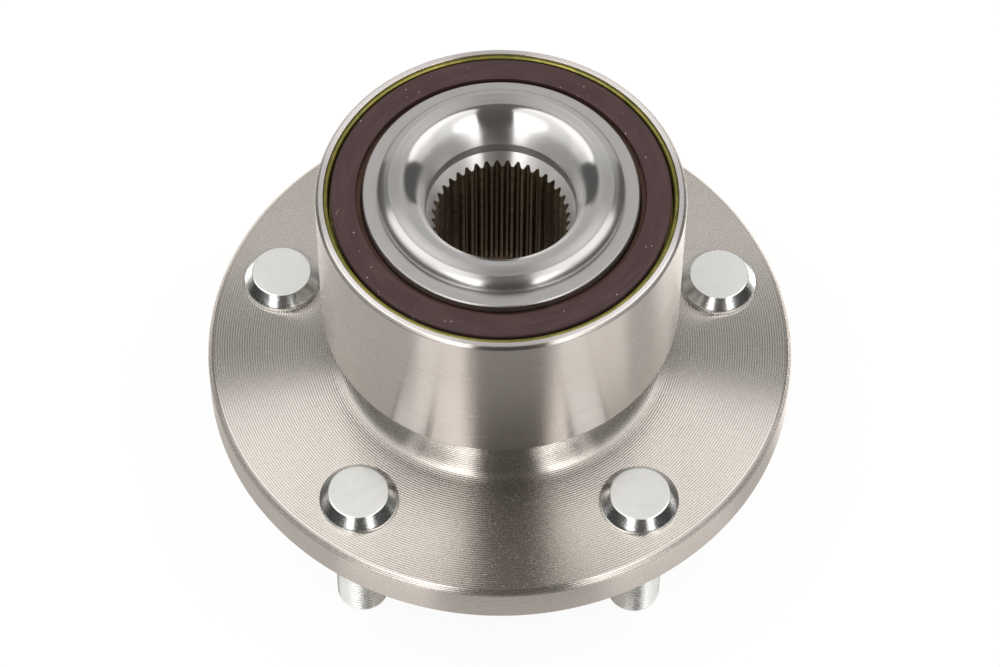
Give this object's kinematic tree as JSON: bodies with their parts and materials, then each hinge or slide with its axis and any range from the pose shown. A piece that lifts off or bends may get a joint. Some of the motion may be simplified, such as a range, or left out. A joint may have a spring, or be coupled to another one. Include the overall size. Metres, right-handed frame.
{
  "type": "wheel hub bearing",
  "caption": "Flanged wheel hub turning in a plain outer ring on two ball rows, with wheel studs, splined bore, formed collar and seals.",
  "frame": {"origin": "on the bearing's axis, in the flange face that the brake disc seats on", "axes": "+Z along the axis, away from the wheel, towards the formed collar; +Y through one wheel stud"},
  "size_m": [0.136, 0.136, 0.1024],
  "materials": {
    "machined_steel": "fine turned, bright",
    "ground_steel": "satin ground",
    "bearing_steel": "ground, oiled",
    "ball_steel": "polished",
    "zinc_plate": "bright zinc plated",
    "yellow_passivated": "satin, yellow passivated",
    "stainless": "satin stamped",
    "encoder_rubber": "matt, magnetic particles",
    "black_rubber": "matt",
    "polyamide": "moulded, natural"
  },
  "bodies": {
    "outer_ring_set": {"outer_ring": "ground_steel", "inboard_seal_case": "yellow_passivated", "inboard_seal_lip": "black_rubber", "outboard_seal_case": "yellow_passivated", "outboard_seal_lip": "black_rubber"},
    "hub": {"wheel_hub": "machined_steel", "inner_ring": "bearing_steel", "slinger": "stainless", "encoder_ring": "encoder_rubber", "wheel_stud_1": "zinc_plate", "wheel_stud_2": "zinc_plate", "wheel_stud_3": "zinc_plate", "wheel_stud_4": "zinc_plate", "wheel_stud_5": "zinc_plate"},
    "outboard_cage": {"outboard_cage": "polyamide"},
    "outboard_ball_01": {"outboard_ball_01": "ball_steel"},
    "outboard_ball_02": {"outboard_ball_02": "ball_steel"},
    "outboard_ball_03": {"outboard_ball_03": "ball_steel"},
    "outboard_ball_04": {"outboard_ball_04": "ball_steel"},
    "outboard_ball_05": {"outboard_ball_05": "ball_steel"},
    "outboard_ball_06": {"outboard_ball_06": "ball_steel"},
    "outboard_ball_07": {"outboard_ball_07": "ball_steel"},
    "outboard_ball_08": {"outboard_ball_08": "ball_steel"},
    "outboard_ball_09": {"outboard_ball_09": "ball_steel"},
    "outboard_ball_10": {"outboard_ball_10": "ball_steel"},
    "outboard_ball_11": {"outboard_ball_11": "ball_steel"},
    "outboard_ball_12": {"outboard_ball_12": "ball_steel"},
    "outboard_ball_13": {"outboard_ball_13": "ball_steel"},
    "inboard_cage": {"inboard_cage": "polyamide"},
    "inboard_ball_01": {"inboard_ball_01": "ball_steel"},
    "inboard_ball_02": {"inboard_ball_02": "ball_steel"},
    "inboard_ball_03": {"inboard_ball_03": "ball_steel"},
    "inboard_ball_04": {"inboard_ball_04": "ball_steel"},
    "inboard_ball_05": {"inboard_ball_05": "ball_steel"},
    "inboard_ball_06": {"inboard_ball_06": "ball_steel"},
    "inboard_ball_07": {"inboard_ball_07": "ball_steel"},
    "inboard_ball_08": {"inboard_ball_08": "ball_steel"},
    "inboard_ball_09": {"inboard_ball_09": "ball_steel"},
    "inboard_ball_10": {"inboard_ball_10": "ball_steel"},
    "inboard_ball_11": {"inboard_ball_11": "ball_steel"},
    "inboard_ball_12": {"inboard_ball_12": "ball_steel"},
    "inboard_ball_13": {"inboard_ball_13": "ball_steel"}
  },
  "joints": [
    {"name": "hub_spin", "type": "hinge", "parent": "outer_ring_set", "child": "hub", "pos_m": [0, 0, 0.0476], "axis": [0, 0, 1], "continuous": true},
    {"name": "outboard_cage_spin", "type": "hinge", "parent": "outer_ring_set", "child": "outboard_cage", "pos_m": [0, 0, 0.0386], "axis": [0, 0, 1], "continuous": true},
    {"name": "outboard_ball_01_spin", "type": "hinge", "parent": "outboard_cage", "child": "outboard_ball_01", "pos_m": [0.0315, 0, 0.0386], "axis": [-0.6428, 0, 0.766], "continuous": true},
    {"name": "outboard_ball_02_spin", "type": "hinge", "parent": "outboard_cage", "child": "outboard_ball_02", "pos_m": [0.02789, 0.01464, 0.0386], "axis": [-0.5692, -0.2987, 0.766], "continuous": true},
    {"name": "outboard_ball_03_spin", "type": "hinge", "parent": "outboard_cage", "child": "outboard_ball_03", "pos_m": [0.01789, 0.02592, 0.0386], "axis": [-0.3651, -0.529, 0.766], "continuous": true},
    {"name": "outboard_ball_04_spin", "type": "hinge", "parent": "outboard_cage", "child": "outboard_ball_04", "pos_m": [0.0038, 0.03127, 0.0386], "axis": [-0.0775, -0.6381, 0.766], "continuous": true},
    {"name": "outboard_ball_05_spin", "type": "hinge", "parent": "outboard_cage", "child": "outboard_ball_05", "pos_m": [-0.01117, 0.02945, 0.0386], "axis": [0.2279, -0.601, 0.766], "continuous": true},
    {"name": "outboard_ball_06_spin", "type": "hinge", "parent": "outboard_cage", "child": "outboard_ball_06", "pos_m": [-0.02358, 0.02089, 0.0386], "axis": [0.4811, -0.4262, 0.766], "continuous": true},
    {"name": "outboard_ball_07_spin", "type": "hinge", "parent": "outboard_cage", "child": "outboard_ball_07", "pos_m": [-0.03058, 0.00754, 0.0386], "axis": [0.6241, -0.1538, 0.766], "continuous": true},
    {"name": "outboard_ball_08_spin", "type": "hinge", "parent": "outboard_cage", "child": "outboard_ball_08", "pos_m": [-0.03058, -0.00754, 0.0386], "axis": [0.6241, 0.1538, 0.766], "continuous": true},
    {"name": "outboard_ball_09_spin", "type": "hinge", "parent": "outboard_cage", "child": "outboard_ball_09", "pos_m": [-0.02358, -0.02089, 0.0386], "axis": [0.4811, 0.4262, 0.766], "continuous": true},
    {"name": "outboard_ball_10_spin", "type": "hinge", "parent": "outboard_cage", "child": "outboard_ball_10", "pos_m": [-0.01117, -0.02945, 0.0386], "axis": [0.2279, 0.601, 0.766], "continuous": true},
    {"name": "outboard_ball_11_spin", "type": "hinge", "parent": "outboard_cage", "child": "outboard_ball_11", "pos_m": [0.0038, -0.03127, 0.0386], "axis": [-0.0775, 0.6381, 0.766], "continuous": true},
    {"name": "outboard_ball_12_spin", "type": "hinge", "parent": "outboard_cage", "child": "outboard_ball_12", "pos_m": [0.01789, -0.02592, 0.0386], "axis": [-0.3651, 0.529, 0.766], "continuous": true},
    {"name": "outboard_ball_13_spin", "type": "hinge", "parent": "outboard_cage", "child": "outboard_ball_13", "pos_m": [0.02789, -0.01464, 0.0386], "axis": [-0.5692, 0.2987, 0.766], "continuous": true},
    {"name": "inboard_cage_spin", "type": "hinge", "parent": "outer_ring_set", "child": "inboard_cage", "pos_m": [0, 0, 0.0566], "axis": [0, 0, 1], "continuous": true},
    {"name": "inboard_ball_01_spin", "type": "hinge", "parent": "inboard_cage", "child": "inboard_ball_01", "pos_m": [0.03058, 0.00754, 0.0566], "axis": [0.6241, 0.1538, 0.766], "continuous": true},
    {"name": "inboard_ball_02_spin", "type": "hinge", "parent": "inboard_cage", "child": "inboard_ball_02", "pos_m": [0.02358, 0.02089, 0.0566], "axis": [0.4811, 0.4262, 0.766], "continuous": true},
    {"name": "inboard_ball_03_spin", "type": "hinge", "parent": "inboard_cage", "child": "inboard_ball_03", "pos_m": [0.01117, 0.02945, 0.0566], "axis": [0.2279, 0.601, 0.766], "continuous": true},
    {"name": "inboard_ball_04_spin", "type": "hinge", "parent": "inboard_cage", "child": "inboard_ball_04", "pos_m": [-0.0038, 0.03127, 0.0566], "axis": [-0.0775, 0.6381, 0.766], "continuous": true},
    {"name": "inboard_ball_05_spin", "type": "hinge", "parent": "inboard_cage", "child": "inboard_ball_05", "pos_m": [-0.01789, 0.02592, 0.0566], "axis": [-0.3651, 0.529, 0.766], "continuous": true},
    {"name": "inboard_ball_06_spin", "type": "hinge", "parent": "inboard_cage", "child": "inboard_ball_06", "pos_m": [-0.02789, 0.01464, 0.0566], "axis": [-0.5692, 0.2987, 0.766], "continuous": true},
    {"name": "inboard_ball_07_spin", "type": "hinge", "parent": "inboard_cage", "child": "inboard_ball_07", "pos_m": [-0.0315, 0, 0.0566], "axis": [-0.6428, 0, 0.766], "continuous": true},
    {"name": "inboard_ball_08_spin", "type": "hinge", "parent": "inboard_cage", "child": "inboard_ball_08", "pos_m": [-0.02789, -0.01464, 0.0566], "axis": [-0.5692, -0.2987, 0.766], "continuous": true},
    {"name": "inboard_ball_09_spin", "type": "hinge", "parent": "inboard_cage", "child": "inboard_ball_09", "pos_m": [-0.01789, -0.02592, 0.0566], "axis": [-0.3651, -0.529, 0.766], "continuous": true},
    {"name": "inboard_ball_10_spin", "type": "hinge", "parent": "inboard_cage", "child": "inboard_ball_10", "pos_m": [-0.0038, -0.03127, 0.0566], "axis": [-0.0775, -0.6381, 0.766], "continuous": true},
    {"name": "inboard_ball_11_spin", "type": "hinge", "parent": "inboard_cage", "child": "inboard_ball_11", "pos_m": [0.01117, -0.02945, 0.0566], "axis": [0.2279, -0.601, 0.766], "continuous": true},
    {"name": "inboard_ball_12_spin", "type": "hinge", "parent": "inboard_cage", "child": "inboard_ball_12", "pos_m": [0.02358, -0.02089, 0.0566], "axis": [0.4811, -0.4262, 0.766], "continuous": true},
    {"name": "inboard_ball_13_spin", "type": "hinge", "parent": "inboard_cage", "child": "inboard_ball_13", "pos_m": [0.03058, -0.00754, 0.0566], "axis": [0.6241, -0.1538, 0.766], "continuous": true}
  ],
  "couplings": [
    {"joint": "outboard_cage_spin", "follows": "hub_spin", "ratio": 0.42279},
    {"joint": "outboard_ball_01_spin", "follows": "hub_spin", "ratio": -2.4212},
    {"joint": "outboard_ball_02_spin", "follows": "hub_spin", "ratio": -2.4212},
    {"joint": "outboard_ball_03_spin", "follows": "hub_spin", "ratio": -2.4212},
    {"joint": "outboard_ball_04_spin", "follows": "hub_spin", "ratio": -2.4212},
    {"joint": "outboard_ball_05_spin", "follows": "hub_spin", "ratio": -2.4212},
    {"joint": "outboard_ball_06_spin", "follows": "hub_spin", "ratio": -2.4212},
    {"joint": "outboard_ball_07_spin", "follows": "hub_spin", "ratio": -2.4212},
    {"joint": "outboard_ball_08_spin", "follows": "hub_spin", "ratio": -2.4212},
    {"joint": "outboard_ball_09_spin", "follows": "hub_spin", "ratio": -2.4212},
    {"joint": "outboard_ball_10_spin", "follows": "hub_spin", "ratio": -2.4212},
    {"joint": "outboard_ball_11_spin", "follows": "hub_spin", "ratio": -2.4212},
    {"joint": "outboard_ball_12_spin", "follows": "hub_spin", "ratio": -2.4212},
    {"joint": "outboard_ball_13_spin", "follows": "hub_spin", "ratio": -2.4212},
    {"joint": "inboard_cage_spin", "follows": "hub_spin", "ratio": 0.42279},
    {"joint": "inboard_ball_01_spin", "follows": "hub_spin", "ratio": -2.4212},
    {"joint": "inboard_ball_02_spin", "follows": "hub_spin", "ratio": -2.4212},
    {"joint": "inboard_ball_03_spin", "follows": "hub_spin", "ratio": -2.4212},
    {"joint": "inboard_ball_04_spin", "follows": "hub_spin", "ratio": -2.4212},
    {"joint": "inboard_ball_05_spin", "follows": "hub_spin", "ratio": -2.4212},
    {"joint": "inboard_ball_06_spin", "follows": "hub_spin", "ratio": -2.4212},
    {"joint": "inboard_ball_07_spin", "follows": "hub_spin", "ratio": -2.4212},
    {"joint": "inboard_ball_08_spin", "follows": "hub_spin", "ratio": -2.4212},
    {"joint": "inboard_ball_09_spin", "follows": "hub_spin", "ratio": -2.4212},
    {"joint": "inboard_ball_10_spin", "follows": "hub_spin", "ratio": -2.4212},
    {"joint": "inboard_ball_11_spin", "follows": "hub_spin", "ratio": -2.4212},
    {"joint": "inboard_ball_12_spin", "follows": "hub_spin", "ratio": -2.4212},
    {"joint": "inboard_ball_13_spin", "follows": "hub_spin", "ratio": -2.4212}
  ]
}
